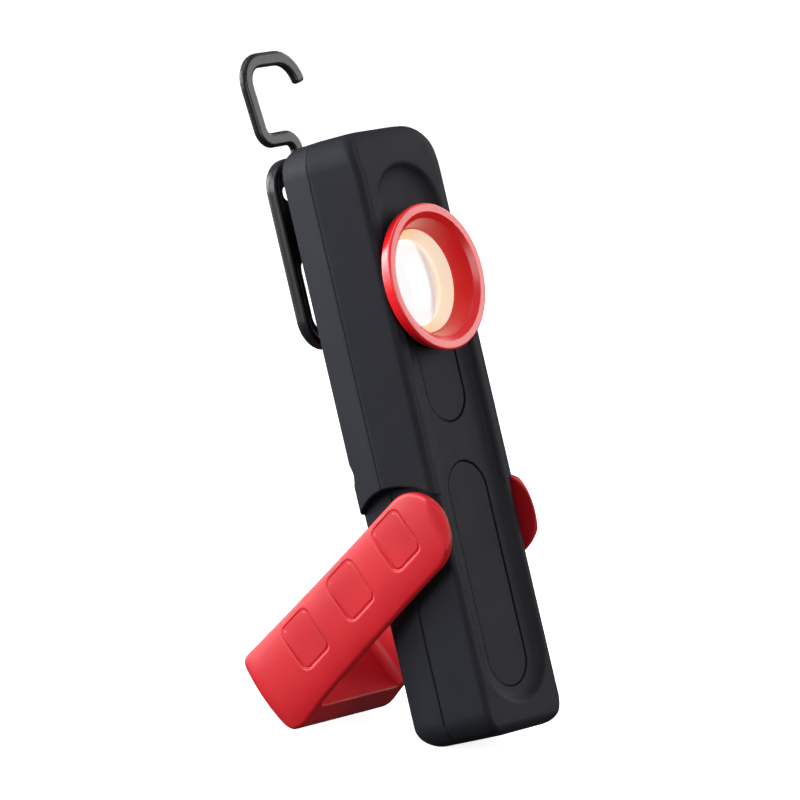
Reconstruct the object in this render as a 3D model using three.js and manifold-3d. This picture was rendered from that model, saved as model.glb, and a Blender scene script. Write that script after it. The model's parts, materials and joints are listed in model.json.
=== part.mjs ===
// Handheld inspection light with a red lens bezel, a fold-out U foot and a swivelling hook.
// Millimetres, +Z up. The light leans back (+Y) on its opened foot and its lens faces -Y.
// Inside the light's own frame X is across, Y is depth (0 at the front face) and Z runs up the body.
import * as THREE from 'three';
import { mergeVertices } from 'three/addons/utils/BufferGeometryUtils.js';
import Module from 'manifold-3d';

const wasm = await Module();
wasm.setup();

// ---- Driving dimensions of the body ----
const BODY_LENGTH = 208;
const BODY_DEPTH = 35.6;
const FRONT_HALF = 22.9; // across the front edges
const FRONT_ROUND = 2;
const WAIST_HALF = 24.8; // widest line of the upper body, at the parting plane
const LOWER_HALF = 20.1; // the same line below the arm pockets
const PARTING = 19.8;
const BACK_HALF = 19.6;
const HEEL_RADIUS = 8;
const TOE_RADIUS = 4;
const BACK_TOP_RADIUS = 6;
const BROW = { depth: 8, height: 18 }; // elliptical rounding of the front face into the top end
const BOTTOM_CORNER = 11;
const TOP_CORNER = 13;
const GAP = 0.3; // clearance between pieces that touch
const WALL = 2.2;
const REACH = 60; // half the size of a cutting block that passes right through the light
const THUMB_NOTCH = { radius: 5.2, z: 96, inner: 16.4, outside: 3.2 }; // scoops in the back edges
const SCREWS = [[-12, 14], [12, 14], [-13.5, 128], [13.5, 128]];
const SCREW = { boss: 3.2, pilot: 1.5, clearance: 1.8, sink: 3, head: 2.7, shank: 1.2, seat: 2.4 };

// ---- Front recess, button and inlay ----
const RECESS_DEPTH = 2.6;
const RECESS_BOTTOM = 10;
const RECESS_TOP = 194.7;
const FLOOR_HALF = 10.8;
const COVE_WIDTH = 5.8; // the wall of the recess curves up over this width to its lip
const BUTTON_HALF = 10;
const BUTTON_BOTTOM = 106.4;
const INLAY_HALF = 10.2;
const INLAY_BOTTOM = 15.2;
const INLAY_TOP = 92.4;

// ---- Lens assembly ----
const LENS_Z = 154.7;
const RING_RADIUS = 24.9;
const RING_BASE_RADIUS = 24.2;
const LIP_INNER = 21.2; // inner edge of the ring's flat front lip
const THROAT = { radius: 20.3, y: -4.2 }; // where the lip's bevel meets the inner cone
const RING_FRONT = -5.4;
const RING_BASE = -1.1;
const COLLAR_RADIUS = 22.3;
const SLEEVE_RADIUS = 20.3;
const SEAT_RADIUS = 17.9;
const LENS_RADIUS = 15;
const LENS_RISE = 5.4; // from the dish's lowest point out to its edge
const LENS_LOW = 2.6;

// ---- Foot ----
const PIVOT = { y: 9.6, z: 71.6 };
const FOOT_OPEN = THREE.MathUtils.degToRad(62);
const ARM_HALF = 14.5; // half the width of an arm
const ARM_INNER = 23.2;
const ARM_EDGE = 25.2; // outer face at the arm's long edges
const ARM_RIDGE = 27.2; // outer face at the ridge along the middle
const FOOT_LENGTH = 93.2;
const CROSSBAR_INNER = 75;
const FOOT_RADIUS = 4;
const FOOT_END_ROUND = 10; // lower corners, seen from the front
const ARCH = { y: 17.2, z: 61.1, radius: 27.8 }; // top of the side pockets, which also stops the arms
const PIN_RADIUS = 3;
const CLIP_RADIUS = 4.4;
const WASHER_RADIUS = 6.8;
const WASHER_SEAT = 21.4; // flat on the side of the body that the washer bears on

// ---- Hook and its carrier ----
const PLATE_FRONT = 41;
const PLATE_THICK = 2.6;
const PLATE_HALF = 18;
const PLATE_BOTTOM = 140;
const PLATE_TOP = 206;
const SWIVEL_Z = 182;
const KNUCKLE_Z = 202.2;
const KNUCKLE_RADIUS = 2.6;
const HOOK_PIN_RADIUS = 1.25;
const HOOK_WIDTH = 5.1;
const HOOK_THICK = 3;

// ---- Materials ----
const finish = (color, roughness, metalness) =>
  new THREE.MeshStandardMaterial({ color, roughness, metalness });
const blackShell = () => finish(0x2c2d31, 0.62, 0);
const blackRubber = () => finish(0x313238, 0.75, 0);
const redShell = () => finish(0xd01f2a, 0.42, 0);
const blackMetal = () => finish(0x17181b, 0.35, 0.6);
const steel = () => finish(0xb4b6ba, 0.3, 1);
const aluminium = () => finish(0xc3c6ca, 0.4, 1);
const cream = () => finish(0xf3dcae, 0.45, 0);
const clear = () => finish(0xffffff, 0.05, 0);
const board = () => finish(0x1f5a3a, 0.5, 0);
const cellWrap = () => finish(0x2e5f9c, 0.4, 0);

// ---- Solids ----
const signedVolume = (position, index) => {
  const [a, b, c] = [new THREE.Vector3(), new THREE.Vector3(), new THREE.Vector3()];
  let volume = 0;
  for (let i = 0; i < index.count; i += 3) {
    a.fromBufferAttribute(position, index.getX(i));
    b.fromBufferAttribute(position, index.getX(i + 1));
    c.fromBufferAttribute(position, index.getX(i + 2));
    volume += a.dot(b.cross(c));
  }
  return volume;
};

// Closed geometry -> manifold solid, turned inside out first if its faces point inwards.
function toSolid(source) {
  const bare = source.clone();
  bare.deleteAttribute('normal');
  bare.deleteAttribute('uv');
  const merged = mergeVertices(bare, 1e-4);
  const triangles = Uint32Array.from(merged.index.array);
  if (signedVolume(merged.attributes.position, merged.index) < 0) triangles.reverse();
  return new wasm.Manifold(new wasm.Mesh({
    numProp: 3,
    vertProperties: Float32Array.from(merged.attributes.position.array),
    triVerts: triangles,
  }));
}

function toMesh(name, solid, material) {
  const { vertProperties, triVerts } = solid.getMesh();
  const geometry = new THREE.BufferGeometry();
  geometry.setAttribute('position', new THREE.BufferAttribute(new Float32Array(vertProperties), 3));
  geometry.setIndex(new THREE.BufferAttribute(new Uint32Array(triVerts), 1));
  geometry.computeVertexNormals();
  const mesh = new THREE.Mesh(geometry, material);
  mesh.name = name;
  return mesh;
}

const box = (x0, x1, y0, y1, z0, z1) =>
  toSolid(new THREE.BoxGeometry(x1 - x0, y1 - y0, z1 - z0)
    .translate((x0 + x1) / 2, (y0 + y1) / 2, (z0 + z1) / 2));

// Cylinders along each axis of the light.
const rodX = (radius, x0, x1, y, z, sides = 24) =>
  toSolid(new THREE.CylinderGeometry(radius, radius, x1 - x0, sides)
    .rotateZ(Math.PI / 2)
    .translate((x0 + x1) / 2, y, z));
const rodY = (radius, y0, y1, x, z, sides = 24) =>
  toSolid(new THREE.CylinderGeometry(radius, radius, y1 - y0, sides).translate(x, (y0 + y1) / 2, z));
const rodZ = (radius, z0, z1, x, y, sides = 24) =>
  toSolid(new THREE.CylinderGeometry(radius, radius, z1 - z0, sides)
    .rotateX(Math.PI / 2)
    .translate(x, y, (z0 + z1) / 2));

// Ring or disc turned about the Y axis through (x, z); the profile is [radius, y] pairs.
const turnedY = (profile, x, z, sides = 36) => {
  const points = profile.map(([r, y]) => new THREE.Vector2(r, y));
  return toSolid(new THREE.LatheGeometry(points, sides).translate(x, 0, z));
};

const EXTRUDE_PLAIN = { bevelEnabled: false, curveSegments: 7 };
const prism = (shape, depth, basis, options = {}) =>
  toSolid(new THREE.ExtrudeGeometry(shape, { ...EXTRUDE_PLAIN, depth, ...options }).applyMatrix4(basis));
const axes = (x, y, z, origin) => new THREE.Matrix4().makeBasis(x, y, z).setPosition(...origin);
const [X, Y, Z] = [new THREE.Vector3(1, 0, 0), new THREE.Vector3(0, 1, 0), new THREE.Vector3(0, 0, 1)];

// Outline in the (x, y) plane pushed up Z, in (y, z) pushed along X, or in (x, z) pushed back along Y.
const alongZ = (shape, z0, z1) => prism(shape, z1 - z0, axes(X, Y, Z, [0, 0, z0]));
const alongX = (shape, x0, x1) => prism(shape, x1 - x0, axes(Y, Z, X, [x0, 0, 0]));
const alongY = (shape, y0, y1, options) =>
  prism(shape, y1 - y0, axes(X, Z, Y.clone().negate(), [0, y1, 0]), options);

// Rectangle with its own radius at each corner: [bottom left, bottom right, top right, top left].
function roundedBox(x0, y0, x1, y1, [r0, r1, r2, r3]) {
  const shape = new THREE.Shape();
  shape.absarc(x0 + r0, y0 + r0, r0, Math.PI, 1.5 * Math.PI, false);
  shape.absarc(x1 - r1, y0 + r1, r1, 1.5 * Math.PI, 2 * Math.PI, false);
  shape.absarc(x1 - r2, y1 - r2, r2, 0, 0.5 * Math.PI, false);
  shape.absarc(x0 + r3, y1 - r3, r3, 0.5 * Math.PI, Math.PI, false);
  return shape;
}
const stadium = (half, bottom, top) => roundedBox(-half, bottom, half, top, [half, half, half, half]);
const polygon = (points) => new THREE.Shape(points.map(([x, y]) => new THREE.Vector2(x, y)));
const mirrored = (points) => polygon([...points, ...points.map(([x, y]) => [-x, y]).reverse()]);

// ---- Body shell ----
const sideOutline = () => {
  const [left, down, right, up] = [Math.PI, 1.5 * Math.PI, 2 * Math.PI, 0.5 * Math.PI];
  const top = BODY_LENGTH - BACK_TOP_RADIUS;
  const shape = new THREE.Shape();
  shape.absarc(TOE_RADIUS, TOE_RADIUS, TOE_RADIUS, left, down, false);
  shape.absarc(BODY_DEPTH - HEEL_RADIUS, HEEL_RADIUS, HEEL_RADIUS, down, right, false);
  shape.absarc(BODY_DEPTH - BACK_TOP_RADIUS, top, BACK_TOP_RADIUS, 0, up, false);
  shape.absellipse(BROW.depth, BODY_LENGTH - BROW.height, BROW.depth, BROW.height, up, left, false);
  return shape;
};

const section = (waist) => mirrored([
  [FRONT_HALF - FRONT_ROUND, 0], [FRONT_HALF - 0.6, 0.6], [FRONT_HALF, FRONT_ROUND], [waist, PARTING],
  [BACK_HALF + (waist - BACK_HALF) * 0.14, BODY_DEPTH - 2.2], [BACK_HALF, BODY_DEPTH - 0.6],
  [BACK_HALF - 1.8, BODY_DEPTH],
]);

// Wide above the arm pockets, narrower below them, rounded at both ends in side and front view.
const outerBody = () => {
  const upper = alongZ(section(WAIST_HALF), 0, BODY_LENGTH).subtract(alongX(pocketOutline(), -REACH, REACH));
  const lower = alongZ(section(LOWER_HALF), 0, BODY_LENGTH);
  const corners = [BOTTOM_CORNER, BOTTOM_CORNER, TOP_CORNER, TOP_CORNER];
  const front = roundedBox(-WAIST_HALF, 0, WAIST_HALF, BODY_LENGTH, corners);
  const ends = alongX(sideOutline(), -REACH, REACH).intersect(alongY(front, -1, BODY_DEPTH + 1));
  return upper.add(lower).intersect(ends);
};

const cavity = () => {
  const upper = mirrored([[14.5, 5], [20, 7], [WAIST_HALF - WALL - 0.4, PARTING], [17, BODY_DEPTH - WALL]]);
  const lower = mirrored([[14, 5], [17.6, 7], [17.6, PARTING], [16.4, BODY_DEPTH - WALL - 1]]);
  const hollow = alongZ(upper, 92, BODY_LENGTH - 4).add(alongZ(lower, 4, 92.5));
  const inside = roundedBox(4, 4, BODY_DEPTH - WALL, BODY_LENGTH - 4, [2, 6, 4, 14]);
  return hollow.intersect(alongX(inside, -30, 30));
};

// Side pocket that the arm sweeps, under a wide arch.
const pocketOutline = () => {
  const shape = new THREE.Shape();
  shape.moveTo(-REACH, -REACH);
  shape.lineTo(REACH, -REACH);
  shape.lineTo(REACH, ARCH.z);
  shape.absarc(ARCH.y, ARCH.z, ARCH.radius, 0, Math.PI, false);
  shape.lineTo(-REACH, ARCH.z);
  return shape;
};

const frontRecess = () => {
  const floor = stadium(FLOOR_HALF, RECESS_BOTTOM + COVE_WIDTH, RECESS_TOP - COVE_WIDTH);
  const cove = {
    bevelEnabled: true,
    bevelThickness: RECESS_DEPTH,
    bevelSize: COVE_WIDTH,
    bevelSegments: 4,
    curveSegments: 8,
  };
  return alongY(floor, -REACH, 0, cove);
};

const thumbNotch = (side) => {
  const [x0, x1] = side < 0 ? [-REACH, -THUMB_NOTCH.inner] : [THUMB_NOTCH.inner, REACH];
  return rodX(THUMB_NOTCH.radius, x0, x1, BODY_DEPTH + THUMB_NOTCH.outside, THUMB_NOTCH.z);
};

function shellBlank() {
  let blank = outerBody();
  const collar = rodY(COLLAR_RADIUS, RING_BASE + GAP, 12, 0, LENS_Z, 48);
  blank = blank.subtract(frontRecess()).add(collar).subtract(cavity());
  for (const side of [-1, 1]) blank = blank.subtract(thumbNotch(side));
  for (const [x0, x1] of [[-REACH, -WASHER_SEAT], [WASHER_SEAT, REACH]]) {
    blank = blank.subtract(rodX(WASHER_RADIUS + GAP, x0, x1, PIVOT.y, PIVOT.z));
  }
  blank = blank.subtract(rodX(CLIP_RADIUS + GAP, -17.6, 17.6, PIVOT.y, PIVOT.z));
  return blank.subtract(rodX(PIN_RADIUS + GAP, -REACH, REACH, PIVOT.y, PIVOT.z));
}

const buttonOutline = (half, bottom, collarGap) => {
  const shape = new THREE.Shape();
  const reach = COLLAR_RADIUS + collarGap;
  const spread = Math.asin(half / reach);
  shape.absarc(0, bottom + half, half, Math.PI, 2 * Math.PI, false);
  shape.absarc(0, LENS_Z, reach, 1.5 * Math.PI + spread, 1.5 * Math.PI - spread, true);
  return shape;
};

// Everything in front of (or behind) a plane across the depth of the light.
const inFrontOf = (y) => box(-REACH, REACH, -REACH, y, -REACH, BODY_LENGTH + REACH);
const behind = (y) => box(-REACH, REACH, y, REACH, -REACH, BODY_LENGTH + REACH);

function makeFrontHousing(blank) {
  let shell = blank.subtract(behind(PARTING - GAP / 2));
  shell = shell.subtract(rodY(SLEEVE_RADIUS + GAP, -3, 5, 0, LENS_Z, 48));
  shell = shell.subtract(rodY(SEAT_RADIUS - 0.2, -3, 14, 0, LENS_Z, 48));
  shell = shell.subtract(alongY(buttonOutline(BUTTON_HALF + GAP, BUTTON_BOTTOM - GAP, 0.3), -1, 9));
  shell = shell.subtract(alongY(stadium(INLAY_HALF + GAP, INLAY_BOTTOM - GAP, INLAY_TOP + GAP), -1, 3.9));
  for (const [x, z] of SCREWS) shell = shell.add(rodY(SCREW.boss, 4.9, PARTING - GAP / 2, x, z, 16));
  for (const [x, z] of SCREWS) shell = shell.subtract(rodY(SCREW.pilot, 8, REACH, x, z, 16));
  return toMesh('front_housing', shell, blackShell());
}

// Charging socket in the back, under a rubber flap hinged at its top edge.
const PORT = { z: 108 };
const FLAP = { half: 8.5, bottom: 101.5, top: 114.5, thick: 1.6 };

function makeRearHousing(blank) {
  let shell = blank.subtract(inFrontOf(PARTING + GAP / 2));
  for (const [x, z] of SCREWS) {
    shell = shell.add(rodY(SCREW.boss, PARTING + GAP / 2, BODY_DEPTH - 2, x, z, 16));
  }
  for (const [x, z] of SCREWS) shell = shell.subtract(rodY(SCREW.clearance, 0, REACH, x, z, 16));
  for (const [x, z] of SCREWS) {
    shell = shell.subtract(rodY(SCREW.sink, BODY_DEPTH - SCREW.seat, REACH, x, z, 16));
  }
  shell = shell.subtract(alongY(roundedBox(-5.2, PORT.z - 2.2, 5.2, PORT.z + 2.2, [2, 2, 2, 2]), 20, REACH));
  const seatHalf = FLAP.half + GAP;
  const flapSeat = roundedBox(-seatHalf, FLAP.bottom - GAP, seatHalf, FLAP.top + GAP, [3, 3, 1, 1]);
  shell = shell.subtract(alongY(flapSeat, BODY_DEPTH - 1.4, REACH));
  shell = shell.subtract(rodY(3.3, 20, REACH, 0, SWIVEL_Z));
  return toMesh('rear_housing', shell, blackShell());
}

function makeGripInlay() {
  const pad = alongY(stadium(INLAY_HALF, INLAY_BOTTOM, INLAY_TOP), RECESS_DEPTH, 3.6);
  return toMesh('grip_inlay', pad, blackRubber());
}

function makePowerButton() {
  const cap = alongY(buttonOutline(BUTTON_HALF, BUTTON_BOTTOM, 0.6), RECESS_DEPTH - 0.1, 4.8);
  const stem = rodY(2, 4.5, 8.4, 0, 118, 16);
  return toMesh('power_button', cap.add(stem), blackRubber());
}

// ---- Lens assembly ----
function makeLensRing() {
  const profile = [
    [LIP_INNER, RING_FRONT], [RING_RADIUS - 0.5, RING_FRONT], [RING_RADIUS, RING_FRONT + 0.5],
    [RING_BASE_RADIUS, RING_BASE], [SLEEVE_RADIUS, RING_BASE], [SLEEVE_RADIUS, 4.6],
    [SEAT_RADIUS + GAP, 4.6], [SEAT_RADIUS + GAP, 2.5], [THROAT.radius, THROAT.y],
    [LIP_INNER, RING_FRONT],
  ];
  return toMesh('lens_ring', turnedY(profile, 0, LENS_Z, 48), redShell());
}

function makeLensGasket() {
  const profile = [[17.8, 4.9], [20.2, 4.9], [20.2, 4.75], [17.8, 4.75], [17.8, 4.9]];
  return toMesh('lens_gasket', turnedY(profile, 0, LENS_Z), blackRubber());
}

function makeReflector() {
  const profile = [
    [SEAT_RADIUS, 2.8], [SEAT_RADIUS, 4.4], [SEAT_RADIUS - 0.6, 5.2], [SEAT_RADIUS - 0.6, 9.4],
    [LENS_RADIUS + 0.5, 9.4], [LENS_RADIUS + 0.5, 8.2], [SEAT_RADIUS - 0.3, 2.8], [SEAT_RADIUS, 2.8],
  ];
  return toMesh('reflector_ring', turnedY(profile, 0, LENS_Z), cream());
}

function makeLens() {
  const rings = 6;
  const dome = [];
  for (let i = 0; i <= rings; i += 1) {
    const share = i / rings;
    dome.push([LENS_RADIUS * share, LENS_LOW + LENS_RISE * (1 - Math.sqrt(1 - (0.94 * share) ** 2))]);
  }
  return toMesh('lens', turnedY([...dome, [LENS_RADIUS, 9.2], [0, 9.2]], 0, LENS_Z), clear());
}

function makeLensHolder() {
  const profile = [[13.5, 9.7], [17.2, 9.7], [17.2, 14], [13.5, 14], [13.5, 9.7]];
  return toMesh('lens_holder', turnedY(profile, 0, LENS_Z), blackShell());
}

const makeLedChip = () => toMesh('led_chip', box(-4, 4, 13.2, 14, LENS_Z - 4, LENS_Z + 4), cream());
const makeLedBoard = () => toMesh('led_board', rodY(16, 14.3, 15.9, 0, LENS_Z), aluminium());

function makeHeatSink() {
  let sink = rodY(17, 16.2, 27, 0, LENS_Z);
  const [pitch, slotHalf] = [6.5, 1.6];
  for (let x = -2 * pitch; x <= 2 * pitch; x += pitch) {
    sink = sink.subtract(box(x - slotHalf, x + slotHalf, 20, 30, LENS_Z - 30, LENS_Z + 30));
  }
  return toMesh('heat_sink', sink, aluminium());
}

// ---- Power and control ----
const CELL = { y: 20.4, bottom: 20, top: 85, radius: 9.1 };

const makeCell = () =>
  toMesh('battery_cell', rodZ(CELL.radius, CELL.bottom, CELL.top, 0, CELL.y), cellWrap());

function makeCellCradle() {
  let cradle = box(-11, 11, CELL.y + 1, 31.8, CELL.bottom - 1.8, CELL.top + 1.8);
  cradle = cradle.subtract(rodZ(CELL.radius + GAP, CELL.bottom - GAP, CELL.top + GAP, 0, CELL.y));
  return toMesh('battery_cradle', cradle, blackShell());
}

const makeControlBoard = () =>
  toMesh('control_board', box(-9.5, 9.5, 11.5, 13.1, 95, 131), board());

function makeSwitch() {
  const can = box(-3, 3, 9.9, 11.2, 115, 121);
  return toMesh('tact_switch', can.add(rodY(1.5, 9.5, 10, 0, 118, 16)), steel());
}

function makeChargePort() {
  const can = alongY(roundedBox(-4.5, PORT.z - 1.6, 4.5, PORT.z + 1.6, [1.5, 1.5, 1.5, 1.5]), 26, 34.4);
  const mouth = alongY(roundedBox(-4.1, PORT.z - 1.2, 4.1, PORT.z + 1.2, [1.1, 1.1, 1.1, 1.1]), 28, 40);
  const tongue = box(-3.3, 3.3, 27, 33, PORT.z - 0.35, PORT.z + 0.35);
  return toMesh('charge_port', can.subtract(mouth).add(tongue), steel());
}

const makePortBoard = () => toMesh('port_board', box(-8, 8, 24.1, 25.7, PORT.z - 6, PORT.z + 6), board());

function makePortFlap() {
  const outline = roundedBox(-FLAP.half, FLAP.bottom, FLAP.half, FLAP.top, [3, 3, 1, 1]);
  const flap = alongY(outline, BODY_DEPTH - 1.1, BODY_DEPTH - 1.1 + FLAP.thick);
  return toMesh('port_flap', flap, blackRubber());
}

function makeScrew(name, x, z) {
  const head = rodY(SCREW.head, BODY_DEPTH - 2.1, BODY_DEPTH - 0.4, x, z, 16);
  const shank = rodY(SCREW.shank, 9, BODY_DEPTH - 2, x, z, 12);
  const socket = rodY(1.1, BODY_DEPTH - 1.5, BODY_DEPTH, x, z, 6);
  return toMesh(name, head.add(shank).subtract(socket), steel());
}

// ---- Foot, drawn pointing straight down from the pivot at the origin ----
// Outline of an arm in its own (across, along) plane, seen from the side.
const armOutline = (end) => {
  const shape = new THREE.Shape();
  shape.absarc(0, 0, ARM_HALF, 0, Math.PI, false);
  shape.absarc(-ARM_HALF + FOOT_RADIUS, -end + FOOT_RADIUS, FOOT_RADIUS, Math.PI, 1.5 * Math.PI, false);
  shape.absarc(ARM_HALF - FOOT_RADIUS, -end + FOOT_RADIUS, FOOT_RADIUS, 1.5 * Math.PI, 2 * Math.PI, false);
  return shape;
};

// Three grip notches across the ridge of each arm.
const GRIPS = [-6.8, -33.9, -61];
const GRIP = { half: 7.4, low: -5.2, high: 10.5, depth: 1.2 };
const gripNotch = (side, z) => {
  const { half, low, high, depth } = GRIP;
  const shape = polygon([[low, z + half], [low, z - half], [high, z - half], [high, z + half]]);
  const floor = ARM_RIDGE - depth;
  return side < 0 ? alongX(shape, -REACH, -floor) : alongX(shape, floor, REACH);
};

function makeFootFrame() {
  const crossSection = polygon([
    [-ARM_EDGE, -ARM_HALF], [ARM_EDGE, -ARM_HALF], [ARM_RIDGE, -2], [ARM_RIDGE, 1], [ARM_EDGE, ARM_HALF],
    [-ARM_EDGE, ARM_HALF], [-ARM_RIDGE, 1], [-ARM_RIDGE, -2],
  ]);
  let frame = alongX(armOutline(FOOT_LENGTH), -30, 30);
  frame = frame.intersect(alongZ(crossSection, -FOOT_LENGTH - 1, ARM_HALF + 1));
  const corners = [FOOT_END_ROUND, FOOT_END_ROUND, 4, 4];
  const frontView = roundedBox(-ARM_RIDGE, -FOOT_LENGTH, ARM_RIDGE, ARM_HALF, corners);
  frame = frame.intersect(alongY(frontView, -30, 30));
  const between = roundedBox(-ARM_INNER, -CROSSBAR_INNER, ARM_INNER, 40, [2, 2, 1, 1]);
  frame = frame.subtract(alongY(between, -30, 30));
  for (const side of [-1, 1]) for (const z of GRIPS) frame = frame.subtract(gripNotch(side, z));
  for (const x of [-11, 11]) frame = frame.subtract(rodZ(5.3, -FOOT_LENGTH - 1, -FOOT_LENGTH + 3.3, x, 0));
  return frame.subtract(rodX(PIN_RADIUS + GAP, -ARM_INNER - 2.3, ARM_INNER + 2.3, 0, 0));
}

const makeFootMagnet = (name, x) =>
  toMesh(name, rodZ(5, -FOOT_LENGTH + 0.2, -FOOT_LENGTH + 3, x, 0), steel());

function makePivotPin(name, side) {
  const [x0, x1] = side < 0 ? [-ARM_INNER - 2, -15.4] : [15.4, ARM_INNER + 2];
  const [g0, g1] = side < 0 ? [-17.2, -16.4] : [16.4, 17.2];
  const groove = rodX(6, g0, g1, 0, 0).subtract(rodX(2.2, g0 - 1, g1 + 1, 0, 0));
  return toMesh(name, rodX(PIN_RADIUS, x0, x1, 0, 0).subtract(groove), steel());
}

function makePivotClip(name, side) {
  const [x0, x1] = side < 0 ? [-17.1, -16.5] : [16.5, 17.1];
  const clip = rodX(CLIP_RADIUS, x0, x1, 0, 0).subtract(rodX(2.5, x0 - 1, x1 + 1, 0, 0));
  return toMesh(name, clip.subtract(box(-20, 20, -1.5, 1.5, -10, 0)), steel());
}

function makeFrictionWasher(name, side) {
  const [x0, x1] = side < 0 ? [-ARM_INNER + GAP, -WASHER_SEAT - GAP] : [WASHER_SEAT + GAP, ARM_INNER - GAP];
  const bore = rodX(PIN_RADIUS + GAP, x0 - 1, x1 + 1, 0, 0);
  return toMesh(name, rodX(WASHER_RADIUS, x0, x1, 0, 0).subtract(bore), blackRubber());
}

// ---- Hook carrier and hook ----
const PLATE_MID = PLATE_FRONT + PLATE_THICK / 2;

function makeSwivelBoss() {
  const profile = [
    [0, BODY_DEPTH + GAP], [9.5, BODY_DEPTH + GAP], [9.5, BODY_DEPTH + 2.2], [7.5, PLATE_FRONT - 0.9],
    [3.2, PLATE_FRONT - 0.9], [3.2, PLATE_FRONT + PLATE_THICK + 0.1], [0, PLATE_FRONT + PLATE_THICK + 0.1],
  ];
  const post = rodY(3, 30, BODY_DEPTH + 1, 0, SWIVEL_Z);
  return toMesh('swivel_boss', turnedY(profile, 0, SWIVEL_Z).add(post), blackMetal());
}

const makeSwivelWasher = () => {
  const disc = rodY(7, PLATE_FRONT - 0.6, PLATE_FRONT - 0.3, 0, SWIVEL_Z);
  return toMesh('swivel_washer', disc.subtract(rodY(3.5, 0, REACH, 0, SWIVEL_Z)), steel());
};

function makeSwivelCap() {
  const back = PLATE_FRONT + PLATE_THICK;
  const profile = [[0, back + 0.4], [6.5, back + 0.4], [6.5, back + 1], [5.3, back + 1.9], [0, back + 1.9]];
  const cap = turnedY(profile, 0, SWIVEL_Z).subtract(rodY(1.8, back + 1, back + 3, 0, SWIVEL_Z, 6));
  return toMesh('swivel_cap', cap, steel());
}

function makeSwivelNut() {
  const nut = rodY(5.5, 30.4, 32.9, 0, SWIVEL_Z, 6).subtract(rodY(3.3, 20, 40, 0, SWIVEL_Z));
  return toMesh('swivel_nut', nut, steel());
}

function makeHookPlate() {
  const back = PLATE_FRONT + PLATE_THICK;
  const outline = roundedBox(-PLATE_HALF, PLATE_BOTTOM, PLATE_HALF, PLATE_TOP, [11, 11, 11, 11]);
  let plate = alongY(outline, PLATE_FRONT, back);
  plate = plate.subtract(alongY(roundedBox(-12.4, 146.5, 12.4, 172, [6, 6, 3, 3]), 30, 60));
  plate = plate.subtract(alongY(roundedBox(-12.8, 192, 12.8, 196.6, [2, 2, 2, 2]), 30, 60));
  for (const side of [-1, 1]) {
    const [x0, x1] = side < 0 ? [-11.5, -6] : [6, 11.5];
    plate = plate.add(rodX(KNUCKLE_RADIUS, x0, x1, PLATE_MID, KNUCKLE_Z, 20));
  }
  plate = plate.subtract(box(-5.9, 5.9, 30, 60, KNUCKLE_Z - 3.1, 220));
  plate = plate.subtract(rodX(HOOK_PIN_RADIUS + GAP, -12, 12, PLATE_MID, KNUCKLE_Z, 20));
  return toMesh('hook_plate', plate.subtract(rodY(3.5, 30, 60, 0, SWIVEL_Z)), blackMetal());
}

const makeHookPin = () =>
  toMesh('hook_pin', rodX(HOOK_PIN_RADIUS, -9.7, 9.7, PLATE_MID, KNUCKLE_Z, 20), steel());

// Centre line of the hook in the (x, z) plane, from the knuckle up the neck and round to the tip.
const HOOK_LINE = [
  [0.3, KNUCKLE_Z], [0.9, 208], [-0.6, 211.8], [-4.2, 213.2], [-10.2, 213], [-14.2, 214.9],
  [-16.2, 219.5], [-17.4, 229], [-16.6, 236], [-11.6, 240.1], [-4, 240.6], [2, 240], [7, 237.1],
  [10.2, 231.1],
];

function makeHook() {
  const line = new THREE.CatmullRomCurve3(HOOK_LINE.map(([x, z]) => new THREE.Vector3(x, PLATE_MID, z)));
  const [w, t, r] = [HOOK_WIDTH / 2, HOOK_THICK / 2, 0.9];
  const section = polygon([
    [t - r, -w], [t, -w + r], [t, w - r], [t - r, w], [-t + r, w], [-t, w - r], [-t, -w + r], [-t + r, -w],
  ]);
  const sweep = { steps: 48, extrudePath: line, bevelEnabled: false };
  const bar = toSolid(new THREE.ExtrudeGeometry(section, sweep));
  const knuckle = rodX(KNUCKLE_RADIUS, -5.6, 5.6, PLATE_MID, KNUCKLE_Z, 20);
  const bore = rodX(HOOK_PIN_RADIUS + GAP, -12, 12, PLATE_MID, KNUCKLE_Z, 20);
  return toMesh('hook', bar.add(knuckle).subtract(bore), blackMetal());
}

// ---- Assembly ----
const blank = shellBlank();
const light = new THREE.Group();
light.add(makeFrontHousing(blank), makeRearHousing(blank), makeGripInlay(), makePowerButton());
light.add(makeLensRing(), makeLensGasket(), makeReflector(), makeLens(), makeLensHolder());
light.add(makeLedChip(), makeLedBoard(), makeHeatSink());
light.add(makeCell(), makeCellCradle(), makeControlBoard(), makeSwitch());
light.add(makeChargePort(), makePortBoard(), makePortFlap());
SCREWS.forEach(([x, z], i) => light.add(makeScrew(`housing_screw_${i + 1}`, x, z)));
light.add(makeSwivelBoss(), makeSwivelWasher(), makeSwivelCap(), makeSwivelNut());
light.add(makeHookPlate(), makeHook(), makeHookPin());

const washers = new THREE.Group();
washers.position.set(0, PIVOT.y, PIVOT.z);
washers.add(makeFrictionWasher('friction_washer_left', -1), makeFrictionWasher('friction_washer_right', 1));
light.add(washers);

const foot = new THREE.Group();
foot.position.set(0, PIVOT.y, PIVOT.z);
foot.rotation.x = FOOT_OPEN;
foot.add(toMesh('foot_frame', makeFootFrame(), redShell()));
foot.add(makeFootMagnet('foot_magnet_left', -11), makeFootMagnet('foot_magnet_right', 11));
foot.add(makePivotPin('pivot_pin_left', -1), makePivotPin('pivot_pin_right', 1));
foot.add(makePivotClip('pivot_clip_left', -1), makePivotClip('pivot_clip_right', 1));
light.add(foot);

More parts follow.
